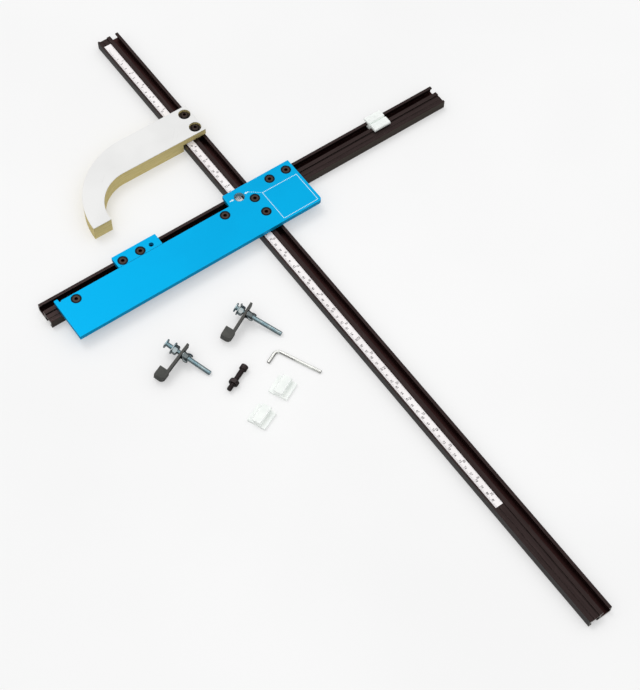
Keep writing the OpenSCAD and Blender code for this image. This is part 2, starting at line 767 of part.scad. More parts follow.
// Hex key on the table: its long leg runs along +X and its short leg turns off towards -Y
module hex_key() {
    color(nickel)
    translate([hex_key_at.x, hex_key_at.y, key_af / 2]) rotate([0, 0, hex_key_turn]) {
        translate([key_bend_r, 0, 0]) rotate([90, 0, 90]) linear_extrude(key_long - key_bend_r) key_section();
        translate([0, -key_bend_r, 0]) rotate([90, 0, 0]) linear_extrude(key_short - key_bend_r) key_section();
        translate([key_bend_r, -key_bend_r, 0]) rotate([0, 0, 90]) rotate_extrude(angle = 90)
            translate([key_bend_r, 0]) key_section();
    }
}

module key_section() {
    circle(d = key_af / cos(30), $fn = 6);
}

// Stop screw lying on one flat of its nut
module stop_screw_place() {
    translate([stop_screw_at.x, stop_screw_at.y, nut_af / 2]) rotate([0, 0, stop_screw_turn]) rotate([0, 90, 0])
        children();
}

module stop_screw() {
    color(black_steel)
    stop_screw_place() difference() {
        union() {
            cylinder(d1 = cap_d - 2 * fine_chamfer, d2 = cap_d, h = fine_chamfer);
            translate([0, 0, fine_chamfer]) cylinder(d = cap_d, h = cap_h - fine_chamfer);
            cylinder(d = screw_d, h = cap_h + stop_screw_l - thread_tip);
            translate([0, 0, cap_h + stop_screw_l - thread_tip])
                cylinder(d1 = screw_d, d2 = screw_d - 2 * thread_tip, h = thread_tip);
        }
        translate([0, 0, -over]) cylinder(d = cap_socket_af / cos(30), h = cap_socket_depth + over, $fn = 6);
    }
}

module stop_nut() {
    color(black_steel)
    stop_screw_place() translate([0, 0, cap_h + stop_screw_l - stop_nut_inset - nut_t / 2]) rotate([0, 0, 30])
        hex_nut();
}

base_plate();
left_rail();
left_rail_screws();
left_rail_nuts();
scale_bar();
scale_tape();
bar_lock_screw_1();
bar_lock_screw_2();
bar_t_nuts();
right_rail();
rail_lock_screw_1();
rail_lock_screw_2();
rail_t_nuts();
stop_plate();
stop_lock_screw_1();
stop_lock_screw_2();
stop_t_nuts();
arm_board();
arm_top_facing();
arm_washers();
arm_screw_1();
arm_screw_2();
arm_t_nuts();
support_pad();
spare_pad_1();
spare_pad_2();
clamp_1_bolt();
clamp_1_washer();
clamp_1_nut();
clamp_1_strap();
clamp_1_foot();
clamp_1_wing_nut();
clamp_2_bolt();
clamp_2_washer();
clamp_2_nut();
clamp_2_strap();
clamp_2_foot();
clamp_2_wing_nut();
hex_key();
stop_screw();
stop_nut();
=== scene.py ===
"""Looks of the circle cutting jig: finishes, eased edges, threads, the printed scale and a plain pale studio.

Lengths in the tables are millimetres. They turn into metres where a mesh is made.
"""

import json
import math

import bmesh
import bpy
import numpy as np
from mathutils import Matrix, Vector


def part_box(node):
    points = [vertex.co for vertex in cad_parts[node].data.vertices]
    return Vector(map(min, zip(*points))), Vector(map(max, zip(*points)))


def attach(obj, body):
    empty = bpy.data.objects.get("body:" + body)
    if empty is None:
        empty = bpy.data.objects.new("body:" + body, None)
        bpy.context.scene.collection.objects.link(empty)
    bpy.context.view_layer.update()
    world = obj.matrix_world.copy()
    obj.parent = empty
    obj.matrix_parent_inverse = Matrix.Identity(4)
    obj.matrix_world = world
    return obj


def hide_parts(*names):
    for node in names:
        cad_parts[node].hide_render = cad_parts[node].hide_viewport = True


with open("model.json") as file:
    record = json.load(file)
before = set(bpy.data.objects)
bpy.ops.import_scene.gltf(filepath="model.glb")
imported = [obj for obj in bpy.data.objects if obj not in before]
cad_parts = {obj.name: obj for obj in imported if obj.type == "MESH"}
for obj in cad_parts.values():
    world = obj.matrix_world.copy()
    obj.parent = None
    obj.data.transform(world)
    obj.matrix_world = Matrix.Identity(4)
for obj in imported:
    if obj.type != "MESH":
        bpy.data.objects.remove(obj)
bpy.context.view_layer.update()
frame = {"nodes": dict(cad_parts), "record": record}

BODY_OF = {node: body for body, nodes in frame["record"]["behaviour"]["bodies"].items() for node in nodes}

MM = 0.001
TAU = 2 * math.pi

# Sizes shared with the CAD part
PLATE_TOP = 19.05
TAPE_TOP, TAPE_LEFT, TAPE_RIGHT, TAPE_FAR, TAPE_L = 11.1, -12.0, -1.7, 322.6, 838.2
WINDOW_AT, WINDOW_R = (-7.525, 5.8), 6.6
SCREW_R = 3.175
THREAD_PITCH, THREAD_DEPTH = 1.27, 0.6
CLAMP_AXIS_Z, CLAMP_TILT, WING_SEAT = 16.033, 12.0, 1.7
STOP_SCREW_AT, STOP_SCREW_TURN = (-137.0, -196.5, 5.55), -154.8

# Where painted shade and light fall: painted shade below the extrusion's top, painted light near its side walls, and
# painted shade round a screw's socket and rim
DEEP_SHADE_FROM, DEEP_SHADE_TO = 9.5, 8.5
WALL_LIGHT_FROM, WALL_LIGHT_TO = 15.6, 15.75
SOCKET_SHADE_R, RIM_SHADOW_R = 2.45, 4.6

# Print: its rise over its ground, the tape's zeros and the ticks' gaps to its edges, and each row of digits' place
# across the tape with its height
PRINT_RISE = 0.02
CENTIMETRE_ZERO, INCH_ZERO, INCH = 303.7, 313.2, 25.4
TICK_INSET, TICK_END_GAP = 0.15, 0.3
CENTIMETRE_DIGITS, INCH_DIGITS, DIGIT_GAP = (-8.9, 2.8), (-5.35, 2.9), 0.35

FLOOR_HALF = 14000.0
EASE_LIMIT = 28.0

# Gaps in metres that a weld closes: in new meshes, and in the CAD part's loose triangles
WELD, CAD_WELD = 1e-7, 2e-6


# ---- camera, light and floor


def aim_camera():
    """The photograph's camera: its axes are made square and its lens gives 1580 pixels on 640."""
    stand, ahead, above = (-0.646, -1.011, 1.625), (0.3156, 0.4147, -0.8535), (0.4912, 0.6982, 0.5209)
    view = Vector(ahead).normalized()
    right = view.cross(Vector(above)).normalized()
    up = right.cross(view)
    data = bpy.data.cameras.new("photo_camera")
    data.sensor_fit, data.sensor_width, data.lens = "HORIZONTAL", 36, 88.875
    data.clip_start, data.clip_end = 0.05, 60
    camera = bpy.data.objects.new("photo_camera", data)
    bpy.context.scene.collection.objects.link(camera)
    turn = Matrix((right, up, -view)).transposed().to_4x4()
    camera.matrix_world = Matrix.Translation(stand) @ turn
    bpy.context.scene.camera = camera


# ---- node helpers


def srgb(red, green, blue):
    """Linear colour of an 8-bit display colour: a straight part near black, then a power of 2.4."""
    part = np.array([red, green, blue]) / 255
    linear = np.where(part <= 0.04045, part / 12.92, ((part + 0.055) / 1.055) ** 2.4)
    return (*linear.tolist(), 1.0)


def add(tree, kind, feeds=None, **settings):
    """A node in the tree, with its settings, and each input set to a value or joined to a socket."""
    node = tree.nodes.new("ShaderNode" + kind)
    for name, value in settings.items():
        setattr(node, name, value)
    for socket, value in (feeds or {}).items():
        if isinstance(value, bpy.types.NodeSocket):
            tree.links.new(value, node.inputs[socket])
        else:
            node.inputs[socket].default_value = value
    return node


def calc(tree, operation, *values, clamp=False):
    """Output of a Math node on the values."""
    return add(tree, "Math", dict(enumerate(values)), operation=operation, use_clamp=clamp).outputs[0]


def blend_colour(tree, share, first, second):
    """Colour between the first and the second, by the share."""
    feeds = {0: share, 6: first, 7: second}
    return add(tree, "Mix", feeds, data_type="RGBA").outputs[2]


def spread(tree, value, low, high, to_low=0.0, to_high=1.0):
    """Value moved from one range to another and held inside it."""
    feeds = {0: value, 1: low, 2: high, 3: to_low, 4: to_high}
    return add(tree, "MapRange", feeds).outputs[0]


def open_group(name, inputs, outputs):
    """A shader node group with named inputs, numbers or vectors, and named numbers as outputs, and its end nodes."""
    group = bpy.data.node_groups.new(name, "ShaderNodeTree")
    for label, value in inputs.items():
        kind = "NodeSocketVector" if isinstance(value, tuple) else "NodeSocketFloat"
        group.interface.new_socket(label, in_out="INPUT", socket_type=kind).default_value = value
    for label in outputs:
        group.interface.new_socket(label, in_out="OUTPUT", socket_type="NodeSocketFloat")
    return group, group.nodes.new("NodeGroupInput"), group.nodes.new("NodeGroupOutput")


def place(tree, group, **values):
    """A group's node in a material, with its named inputs set."""
    node = add(tree, "Group", node_tree=group)
    for label, value in values.items():
        socket = node.inputs[label.replace("_", " ").capitalize()]
        if isinstance(value, bpy.types.NodeSocket):
            tree.links.new(value, socket)
        else:
            socket.default_value = value
    return node


def edge_wear_group():
    """Rubbed edges: one less the cosine between the surface's normal and a rounded one, broken up by noise."""
    inputs = {"Width": 0.0006, "Amount": 1.0, "Scale": 400.0}
    group, start, end = open_group("rubbed edges", inputs, ["Mask"])
    rounded = add(group, "Bevel", {"Radius": start.outputs["Width"]}, samples=4)
    geometry = add(group, "NewGeometry")
    feeds = {0: rounded.outputs[0], 1: geometry.outputs["Normal"]}
    cosine = add(group, "VectorMath", feeds, operation="DOT_PRODUCT").outputs["Value"]
    sharp = spread(group, calc(group, "SUBTRACT", 1.0, cosine), 0.01, 0.14)
    coordinates = add(group, "TexCoord").outputs["Object"]
    feeds = {"Vector": coordinates, "Scale": start.outputs["Scale"], "Detail": 3.0}
    broken = spread(group, add(group, "TexNoise", feeds).outputs[0], 0.4, 0.62)
    mask = calc(group, "MULTIPLY", calc(group, "MULTIPLY", sharp, broken), start.outputs["Amount"], clamp=True)
    group.links.new(mask, end.inputs["Mask"])
    return group


def grain_group():
    """Directional grain: noise on object coordinates that are squeezed by the stretch along each axis."""
    inputs = {"Stretch": (1.0, 1.0, 1.0), "Scale": 1500.0, "Contrast": 0.2}
    group, start, end = open_group("drawn grain", inputs, ["Tone", "Height"])
    coordinates = add(group, "TexCoord").outputs["Object"]
    feeds = {0: coordinates, 1: start.outputs["Stretch"]}
    squeezed = add(group, "VectorMath", feeds, operation="MULTIPLY").outputs[0]
    feeds = {"Vector": squeezed, "Scale": start.outputs["Scale"], "Detail": 4.0, "Roughness": 0.65}
    noise = add(group, "TexNoise", feeds).outputs[0]
    low = calc(group, "SUBTRACT", 0.5, start.outputs["Contrast"])
    high = calc(group, "ADD", 0.5, start.outputs["Contrast"])
    group.links.new(spread(group, noise, low, high), end.inputs["Tone"])
    group.links.new(noise, end.inputs["Height"])
    return group


def handling_group():
    """Marks of handling: broad soft smudges, and sparse scratches where a stretched noise crosses its middle."""
    inputs = {"Smudge scale": 25.0, "Scratch scale": 90.0, "Turn": 0.5}
    group, start, end = open_group("handling marks", inputs, ["Smudge", "Scratch"])
    coordinates = add(group, "TexCoord").outputs["Object"]
    feeds = {"Vector": coordinates, "Scale": start.outputs["Smudge scale"], "Detail": 2.0}
    smudge = spread(group, add(group, "TexNoise", feeds).outputs[0], 0.38, 0.66)
    feeds = {"Vector": coordinates, "Angle": start.outputs["Turn"], "Axis": (0.0, 0.0, 1.0)}
    turned = add(group, "VectorRotate", feeds).outputs[0]
    feeds = {0: turned, 1: (1.0, 0.03, 0.2)}
    long_way = add(group, "VectorMath", feeds, operation="MULTIPLY").outputs[0]
    feeds = {"Vector": long_way, "Scale": start.outputs["Scratch scale"], "Detail": 1.0, "Distortion": 0.2}
    off_middle = calc(group, "ABSOLUTE", calc(group, "SUBTRACT", add(group, "TexNoise", feeds).outputs[0], 0.5))
    line = spread(group, off_middle, 0.0, 0.006, 1.0, 0.0)
    feeds = {"Vector": coordinates, "Scale": 60.0, "Detail": 2.0}
    sparse = spread(group, add(group, "TexNoise", feeds).outputs[0], 0.56, 0.66)
    group.links.new(smudge, end.inputs["Smudge"])
    group.links.new(calc(group, "MULTIPLY", line, sparse), end.inputs["Scratch"])
    return group


def upright_axis_group():
    """Distance from an upright axis: the length of the object coordinates less the centre, with height left out."""
    group, start, end = open_group("round an upright axis", {"Centre": (0.0, 0.0, 0.0)}, ["Radius"])
    coordinates = add(group, "TexCoord").outputs["Object"]
    off = add(group, "VectorMath", {0: coordinates, 1: start.outputs["Centre"]}, operation="SUBTRACT").outputs[0]
    plan = add(group, "VectorMath", {0: off, 1: (1.0, 1.0, 0.0)}, operation="MULTIPLY").outputs[0]
    length = add(group, "VectorMath", {0: plan}, operation="LENGTH").outputs["Value"]
    group.links.new(length, end.inputs["Radius"])
    return group


EDGE_WEAR, GRAIN, HANDLING, UPRIGHT_AXIS = edge_wear_group(), grain_group(), handling_group(), upright_axis_group()


def start_material(name, **plain):
    """An empty material with a Principled shader whose plain sockets are set."""
    material = bpy.data.materials.new(name)
    material.use_nodes = True
    tree = material.node_tree
    shader = next(node for node in tree.nodes if node.type == "BSDF_PRINCIPLED")
    for label, value in plain.items():
        shader.inputs[label.replace("_", " ")].default_value = value
    return material, tree, shader


def feed(tree, shader, **sockets):
    """Joins each named socket of the shader to what feeds it."""
    for label, source in sockets.items():
        tree.links.new(source, shader.inputs[label.replace("_", " ")])


def bump(tree, height, strength, distance):
    """Normal from a height."""
    return add(tree, "Bump", {"Height": height, "Strength": strength, "Distance": distance}).outputs[0]


# ---- finishes


def anodised_black(name, stretch, across, wall_painted_light):
    """Dyed extrusion: brown-black with fine die lines along it, with painted shade, darker and redder, below its top,
    painted light on its side walls, and rubbed edges that are partly a painted highlight.

    The side walls, which take the painted light, are where the size of the object coordinates' part along the across
    axis is near the half width.
    """
    material, tree, shader = start_material(name, Metallic=0.85, Specular_IOR_Level=0.2)
    grain = place(tree, GRAIN, stretch=stretch, scale=1400.0, contrast=0.16)
    marks = place(tree, HANDLING, smudge_scale=18.0, scratch_scale=70.0, turn=0.4)
    wear = place(tree, EDGE_WEAR, width=0.0005, amount=0.55, scale=350.0)
    surface_colour = blend_colour(tree, grain.outputs["Tone"], srgb(42, 33, 32), srgb(57, 46, 45))
    coordinates = add(tree, "TexCoord").outputs["Object"]
    height = add(tree, "SeparateXYZ", {0: coordinates}).outputs["Z"]
    # Painted shade: darker and redder below the top, in the slots and recesses
    surface_colour = blend_colour(tree, spread(tree, height, DEEP_SHADE_TO * MM, DEEP_SHADE_FROM * MM, 1.0, 0.0), surface_colour, srgb(52, 30, 29))
    aside = add(tree, "VectorMath", {0: coordinates, 1: across}, operation="DOT_PRODUCT").outputs["Value"]
    # Painted light: paler side walls
    surface_colour = blend_colour(tree, spread(tree, calc(tree, "ABSOLUTE", aside), WALL_LIGHT_FROM * MM, WALL_LIGHT_TO * MM), surface_colour, wall_painted_light)
    surface_colour = blend_colour(tree, calc(tree, "MULTIPLY", marks.outputs["Scratch"], 0.35), surface_colour, srgb(110, 100, 96))
    # Rubbed edges: partly real wear, partly a painted highlight along the edges
    surface_colour = blend_colour(tree, wear.outputs["Mask"], surface_colour, srgb(112, 102, 96))
    gloss = spread(tree, marks.outputs["Smudge"], 0.0, 1.0, 0.34, 0.46)
    feed(tree, shader, Base_Color=surface_colour, Roughness=gloss, Normal=bump(tree, grain.outputs["Height"], 0.25, 0.00012))
    return material


def bare_aluminium(name):
    """Saw-cut end: bright metal with close lines left by the blade."""
    material, tree, shader = start_material(name, Metallic=1.0)
    coordinates = add(tree, "TexCoord").outputs["Object"]
    feeds = {"Vector": coordinates, "Scale": 900.0, "Distortion": 1.5, "Detail": 2.0}
    lines = add(tree, "TexWave", feeds, bands_direction="Z").outputs["Fac"]
    grain = place(tree, GRAIN, stretch=(1.0, 1.0, 1.0), scale=2500.0, contrast=0.2)
    tone = blend_colour(tree, grain.outputs["Tone"], srgb(196, 194, 190), srgb(228, 226, 222))
    feed(tree, shader, Base_Color=tone, Roughness=spread(tree, lines, 0.0, 1.0, 0.3, 0.5),
         Normal=bump(tree, lines, 0.3, 0.0001))
    return material


def anodised_blue():
    """Bright dyed plate: bead-blasted satin, faint smudges, paler rubbed edges, and a greyer blue inside the sight
    window.
    """
    material, tree, shader = start_material("blue_anodised_plate", Metallic=0.45, Specular_IOR_Level=0.05)
    grain = place(tree, GRAIN, stretch=(1.0, 1.0, 1.0), scale=3800.0, contrast=0.22)
    marks = place(tree, HANDLING, smudge_scale=14.0, scratch_scale=60.0, turn=1.1)
    wear = place(tree, EDGE_WEAR, width=0.0005, amount=0.5, scale=300.0)
    surface_colour = blend_colour(tree, marks.outputs["Smudge"], srgb(0, 162, 216), srgb(0, 169, 223))
    surface_colour = blend_colour(tree, calc(tree, "MULTIPLY", grain.outputs["Tone"], 0.3), surface_colour, srgb(0, 153, 204))
    surface_colour = blend_colour(tree, wear.outputs["Mask"], surface_colour, srgb(84, 172, 208))
    window = place(tree, UPRIGHT_AXIS, centre=(MM * WINDOW_AT[0], MM * WINDOW_AT[1], 0.0)).outputs["Radius"]
    surface_colour = blend_colour(tree, calc(tree, "LESS_THAN", window, MM * WINDOW_R), surface_colour, srgb(128, 170, 182))
    feed(tree, shader, Base_Color=surface_colour, Roughness=spread(tree, marks.outputs["Smudge"], 0.0, 1.0, 0.36, 0.44),
         Normal=bump(tree, grain.outputs["Height"], 0.18, 0.00006))
    return material


def black_oxide(name, centres=()):
    """Blackened screw steel: warm brown-black, with a fine turned grain and worn edges.

    Round each head's centre the socket takes painted shade, and the rim beyond a radius a near-black painted shadow, as
    of a dark gap round the head.
    """
    material, tree, shader = start_material(name, Metallic=0.9)
    grain = place(tree, GRAIN, stretch=(1.0, 1.0, 3.0), scale=2600.0, contrast=0.2)
    wear = place(tree, EDGE_WEAR, width=0.0003, amount=0.6, scale=900.0)
    steel_colour = blend_colour(tree, grain.outputs["Tone"], srgb(54, 45, 41), srgb(74, 64, 58))
    steel_colour = blend_colour(tree, wear.outputs["Mask"], steel_colour, srgb(132, 120, 112))
    distance = None
    for centre in centres:
        reach = place(tree, UPRIGHT_AXIS, centre=centre).outputs["Radius"]
        distance = reach if distance is None else calc(tree, "MINIMUM", distance, reach)
    if distance is not None:
        # Painted shadow near black on the rim, and painted shade in the socket
        rim = spread(tree, distance, MM * (RIM_SHADOW_R - 0.3), MM * (RIM_SHADOW_R + 0.3))
        socket = spread(tree, distance, MM * (SOCKET_SHADE_R - 0.15), MM * (SOCKET_SHADE_R + 0.15), 1.0, 0.0)
        steel_colour = blend_colour(tree, rim, steel_colour, srgb(20, 21, 24))
        steel_colour = blend_colour(tree, socket, steel_colour, srgb(40, 20, 16))
    feed(tree, shader, Base_Color=steel_colour, Roughness=spread(tree, grain.outputs["Tone"], 0.0, 1.0, 0.38, 0.52),
         Normal=bump(tree, grain.outputs["Height"], 0.2, 0.00006))
    return material


def head_centres(node):
    """Centres in the plan of a node's one or two round heads, from its box: one head is as long as it is wide."""
    low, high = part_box(node)
    half, middle = (high[1] - low[1]) / 2, (high[1] + low[1]) / 2
    places = {low[0] + half, high[0] - half} if high[0] - low[0] > 3 * half else {(low[0] + high[0]) / 2}
    return [(x, middle, 0.0) for x in sorted(places)]


def dark_cap_steel():
    """Near-black cap screw steel, a little oily."""
    material, tree, shader = start_material("black_cap_steel", Metallic=0.6)
    grain = place(tree, GRAIN, stretch=(1.0, 1.0, 1.0), scale=2200.0, contrast=0.2)
    wear = place(tree, EDGE_WEAR, width=0.0003, amount=0.5, scale=900.0)
    steel_colour = blend_colour(tree, grain.outputs["Tone"], srgb(38, 31, 31), srgb(56, 46, 46))
    steel_colour = blend_colour(tree, wear.outputs["Mask"], steel_colour, srgb(96, 88, 86))
    feed(tree, shader, Base_Color=steel_colour, Roughness=spread(tree, grain.outputs["Tone"], 0.0, 1.0, 0.34, 0.46),
         Normal=bump(tree, grain.outputs["Height"], 0.2, 0.00006))
    return material


def zinc_plate(name, cold, warm):
    """Zinc plate: satin grain under a thin passivation film that drifts between a cold and a warm tone."""
    material, tree, shader = start_material(name, Metallic=1.0)
    marks = place(tree, HANDLING, smudge_scale=120.0, scratch_scale=200.0, turn=0.3)
    grain = place(tree, GRAIN, stretch=(1.0, 1.0, 1.0), scale=3000.0, contrast=0.24)
    film = blend_colour(tree, marks.outputs["Smudge"], cold, warm)
    film = blend_colour(tree, calc(tree, "MULTIPLY", grain.outputs["Tone"], 0.4), film, srgb(132, 150, 158))
    feed(tree, shader, Base_Color=film, Roughness=spread(tree, grain.outputs["Tone"], 0.0, 1.0, 0.12, 0.24),
         Normal=bump(tree, grain.outputs["Height"], 0.15, 0.00005))
    return material


def strap_steel():
    """Dark formed strip steel: long rolling grain, grey rubbed edges."""
    material, tree, shader = start_material("dark_strap_steel", Metallic=0.85)
    grain = place(tree, GRAIN, stretch=(1.0, 1.0, 0.15), scale=1600.0, contrast=0.2)
    marks = place(tree, HANDLING, smudge_scale=90.0, scratch_scale=160.0, turn=0.9)
    wear = place(tree, EDGE_WEAR, width=0.0006, amount=0.7, scale=500.0)
    steel_colour = blend_colour(tree, grain.outputs["Tone"], srgb(70, 70, 68), srgb(92, 92, 89))
    steel_colour = blend_colour(tree, calc(tree, "MULTIPLY", marks.outputs["Scratch"], 0.5), steel_colour, srgb(150, 150, 146))
    steel_colour = blend_colour(tree, wear.outputs["Mask"], steel_colour, srgb(142, 142, 138))
    feed(tree, shader, Base_Color=steel_colour, Roughness=spread(tree, marks.outputs["Smudge"], 0.0, 1.0, 0.32, 0.48),
         Normal=bump(tree, grain.outputs["Height"], 0.2, 0.00008))
    return material


def bright_nickel():
    """Polished plated key steel with faint lines along its flats."""
    material, tree, shader = start_material("bright_nickel", Metallic=1.0)
    grain = place(tree, GRAIN, stretch=(0.1, 0.1, 1.0), scale=1800.0, contrast=0.2)
    tone = blend_colour(tree, grain.outputs["Tone"], srgb(228, 228, 224), srgb(244, 244, 240))
    feed(tree, shader, Base_Color=tone, Roughness=spread(tree, grain.outputs["Tone"], 0.0, 1.0, 0.16, 0.2),
         Normal=bump(tree, grain.outputs["Height"], 0.02, 0.00005))
    return material


def moulded_rubber():
    """Matt dark rubber with a pebbled skin and a dusty bloom."""
    material, tree, shader = start_material("moulded_rubber", Specular_IOR_Level=0.3)
    grain = place(tree, GRAIN, stretch=(1.0, 1.0, 1.0), scale=1600.0, contrast=0.22)
    marks = place(tree, HANDLING, smudge_scale=110.0, scratch_scale=150.0, turn=0.2)
    tone = blend_colour(tree, marks.outputs["Smudge"], srgb(74, 75, 72), srgb(88, 88, 84))
    tone = blend_colour(tree, calc(tree, "MULTIPLY", grain.outputs["Tone"], 0.4), tone, srgb(62, 62, 60))
    feed(tree, shader, Base_Color=tone, Roughness=spread(tree, grain.outputs["Tone"], 0.0, 1.0, 0.66, 0.84),
         Normal=bump(tree, grain.outputs["Height"], 0.5, 0.0002))
    return material


def translucent_plastic():
    """Milky slippery plastic that light soaks into, with a faint painted glow in its own tone that lightens its shade,
    and a fine moulded grain.
    """
    # The emission is a painted glow that lifts the shade between the pad's parts
    plain = {"Subsurface_Weight": 0.5, "Subsurface_Scale": 0.006, "Subsurface_Radius": (1.0, 1.0, 1.0),
             "Emission_Strength": 0.2}
    material, tree, shader = start_material("milky_plastic", **plain)
    grain = place(tree, GRAIN, stretch=(1.0, 1.0, 0.4), scale=1500.0, contrast=0.2)
    marks = place(tree, HANDLING, smudge_scale=60.0, scratch_scale=150.0, turn=0.6)
    tone = blend_colour(tree, marks.outputs["Smudge"], srgb(221, 225, 222), srgb(228, 231, 228))
    tone = blend_colour(tree, calc(tree, "MULTIPLY", grain.outputs["Tone"], 0.25), tone, srgb(214, 219, 216))
    rough = spread(tree, grain.outputs["Tone"], 0.0, 1.0, 0.34, 0.48)
    feed(tree, shader, Emission_Color=tone, Base_Color=tone, Roughness=rough,
         Normal=bump(tree, grain.outputs["Height"], 0.25, 0.0001))
    return material


def white_laminate():
    """White hard laminate: a faint orange-peel and the odd rub mark."""
    material, tree, shader = start_material("white_laminate", Specular_IOR_Level=0.45)
    grain = place(tree, GRAIN, stretch=(1.0, 1.0, 1.0), scale=700.0, contrast=0.2)
    marks = place(tree, HANDLING, smudge_scale=16.0, scratch_scale=60.0, turn=0.8)
    tone = blend_colour(tree, marks.outputs["Smudge"], srgb(229, 229, 228), srgb(235, 235, 234))
    tone = blend_colour(tree, calc(tree, "MULTIPLY", marks.outputs["Scratch"], 0.2), tone, srgb(198, 196, 192))
    feed(tree, shader, Base_Color=tone, Roughness=spread(tree, grain.outputs["Tone"], 0.0, 1.0, 0.26, 0.36),
         Normal=bump(tree, grain.outputs["Height"], 0.12, 0.0001))
    return material


def board_core():
    """Board edge: tan layers that change with height, long fibres round the edge, and white laminate underneath."""
    material, tree, shader = start_material("tan_board_core", Specular_IOR_Level=0.3)
    layers = place(tree, GRAIN, stretch=(0.06, 0.06, 1.0), scale=700.0, contrast=0.14)
    fibre = place(tree, GRAIN, stretch=(0.5, 0.5, 1.0), scale=2200.0, contrast=0.22)
    normal = add(tree, "NewGeometry").outputs["True Normal"]
    down = add(tree, "VectorMath", {0: normal, 1: (0.0, 0.0, -1.0)}, operation="DOT_PRODUCT").outputs["Value"]
    underside = calc(tree, "GREATER_THAN", down, 0.9)
    tone = blend_colour(tree, layers.outputs["Tone"], srgb(206, 189, 124), srgb(228, 212, 152))
    tone = blend_colour(tree, calc(tree, "MULTIPLY", fibre.outputs["Tone"], 0.35), tone, srgb(188, 168, 106))
    tone = blend_colour(tree, underside, tone, srgb(240, 240, 238))
    rough = spread(tree, underside, 0.0, 1.0, 0.72, 0.32)
    feed(tree, shader, Base_Color=tone, Roughness=rough, Normal=bump(tree, fibre.outputs["Height"], 0.35, 0.0002))
    return material


def printed_vinyl():
    """White glossy tape with a slight warm unevenness."""
    material, tree, shader = start_material("white_vinyl_tape", Specular_IOR_Level=0.5)
    grain = place(tree, GRAIN, stretch=(1.0, 0.3, 1.0), scale=500.0, contrast=0.22)
    marks = place(tree, HANDLING, smudge_scale=30.0, scratch_scale=90.0, turn=0.1)
    tone = blend_colour(tree, marks.outputs["Smudge"], srgb(244, 239, 239), srgb(249, 245, 245))
    feed(tree, shader, Base_Color=tone, Roughness=spread(tree, grain.outputs["Tone"], 0.0, 1.0, 0.3, 0.42),
         Normal=bump(tree, grain.outputs["Height"], 0.1, 0.00005))
    return material


def ink(name, thin, full):
    """Screen-printed ink whose cover varies a little."""
    material, tree, shader = start_material(name, Specular_IOR_Level=0.3)
    grain = place(tree, GRAIN, stretch=(1.0, 1.0, 1.0), scale=1800.0, contrast=0.2)
    feed(tree, shader, Base_Color=blend_colour(tree, grain.outputs["Tone"], thin, full),
         Roughness=spread(tree, grain.outputs["Tone"], 0.0, 1.0, 0.45, 0.6))
    return material


def studio_floor():
    """Pale seamless sweep, lit a little from within as a light table is, and dimmer where metal mirrors it."""
    material, tree, shader = start_material("pale_floor", Specular_IOR_Level=0.1, Emission_Strength=0.6)
    coordinates = add(tree, "TexCoord").outputs["Object"]
    noise = add(tree, "TexNoise", {"Vector": coordinates, "Scale": 2.0, "Detail": 3.0}).outputs[0]
    tone = blend_colour(tree, spread(tree, noise, 0.35, 0.65), srgb(199, 199, 199), srgb(202, 202, 202))
    mirrored = add(tree, "LightPath").outputs["Is Glossy Ray"]
    tone = blend_colour(tree, mirrored, tone, srgb(115, 115, 115))
    feed(tree, shader, Base_Color=tone, Emission_Color=tone, Roughness=spread(tree, noise, 0.3, 0.7, 0.6, 0.7))
    return material


def light_studio():
    """White dome over a dim horizon, and one broad soft lamp high behind the jig."""
    world = bpy.data.worlds.new("studio")
    world.use_nodes = True
    tree = world.node_tree
    tree.nodes.clear()
    direction = add(tree, "TexCoord").outputs["Generated"]
    height = add(tree, "SeparateXYZ", {0: direction}).outputs["Z"]
    horizon, zenith, dim, bright, backdrop = 0.12, 0.62, 0.08, 0.98, 0.93
    feeds = {0: height, 1: horizon, 2: zenith, 3: dim, 4: bright}
    glow = add(tree, "MapRange", feeds, interpolation_type="SMOOTHSTEP").outputs[0]
    seen = add(tree, "LightPath").outputs["Is Camera Ray"]
    shown = add(tree, "Mix", {0: seen, 2: glow, 3: backdrop}, data_type="FLOAT").outputs[0]
    background = add(tree, "Background", {"Color": (1.0, 1.0, 1.0, 1.0), "Strength": shown})
    output = add(tree, "OutputWorld")
    tree.links.new(background.outputs[0], output.inputs[0])
    bpy.context.scene.world = world

    lamp = bpy.data.lights.new("far_soft_lamp", "SUN")
    lamp.angle, lamp.energy = math.radians(28), 0.58
    stand = bpy.data.objects.new("far_soft_lamp", lamp)
    bpy.context.scene.collection.objects.link(stand)
    towards = Vector((-0.04, 0.452, 0.891))
    stand.matrix_world = Matrix.Translation(3 * towards) @ towards.to_track_quat("Z", "Y").to_matrix().to_4x4()


def lay_floor():
    """A flat square sheet under the jig."""
    corners = FLOOR_HALF * np.array([[-1, -1, 0], [1, -1, 0], [1, 1, 0], [-1, 1, 0]])
    floor = put_mesh("studio_floor", corners, np.array([[0, 1, 2, 3]]), studio_floor(), smooth=False)


# ---- mesh helpers


def put_mesh(name, points, faces, material, smooth=True):
    """A mesh object at the origin from points in millimetres and an array of faces, one row each."""
    mesh = bpy.data.meshes.new(name)
    sides = faces.shape[1]
    mesh.vertices.add(len(points))
    mesh.vertices.foreach_set("co", (points * MM).astype(np.float32).ravel())
    mesh.loops.add(faces.size)
    mesh.loops.foreach_set("vertex_index", faces.astype(np.int32).ravel())
    mesh.polygons.add(len(faces))
    mesh.polygons.foreach_set("loop_start", np.arange(0, faces.size, sides, dtype=np.int32))
    mesh.polygons.foreach_set("use_smooth", np.full(len(faces), smooth))
    mesh.update(calc_edges=True)
    mesh.materials.append(material)
    piece = bpy.data.objects.new(name, mesh)
    bpy.context.scene.collection.objects.link(piece)
    return piece


